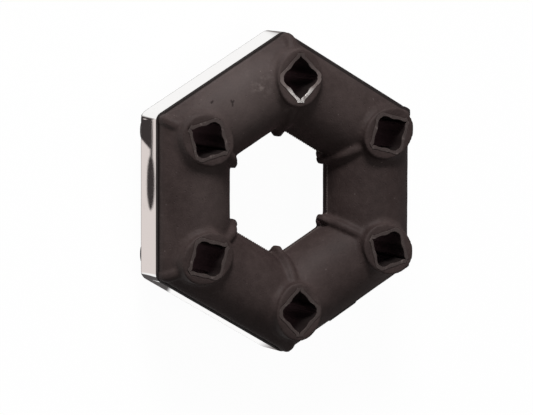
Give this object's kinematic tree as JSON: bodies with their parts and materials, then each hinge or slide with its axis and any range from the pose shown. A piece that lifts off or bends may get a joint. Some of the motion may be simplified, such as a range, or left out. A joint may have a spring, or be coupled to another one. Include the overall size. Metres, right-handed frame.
{
  "type": "rubber coupling",
  "caption": "Flexible six-sided rubber shaft coupling ring with pressed steel sockets round its centre and a steel retaining strap.",
  "frame": {"origin": "on the shaft axis, level with the back ends of the sockets", "axes": "+Z along the shaft axis to the front face, +Y through a corner of the ring"},
  "size_m": [0.13, 0.1486, 0.047],
  "materials": {
    "rubber": "matt, worn",
    "strap_steel": "bright plated",
    "socket_steel": "bright with a rubber film"
  },
  "bodies": {
    "root": {"rubber_ring": "rubber", "retaining_strap": "strap_steel", "socket_1_left": "socket_steel", "socket_1_right": "socket_steel", "socket_2_left": "socket_steel", "socket_2_right": "socket_steel", "socket_3_left": "socket_steel", "socket_3_right": "socket_steel", "socket_4_left": "socket_steel", "socket_4_right": "socket_steel", "socket_5_left": "socket_steel", "socket_5_right": "socket_steel", "socket_6_left": "socket_steel", "socket_6_right": "socket_steel"}
  },
  "joints": []
}
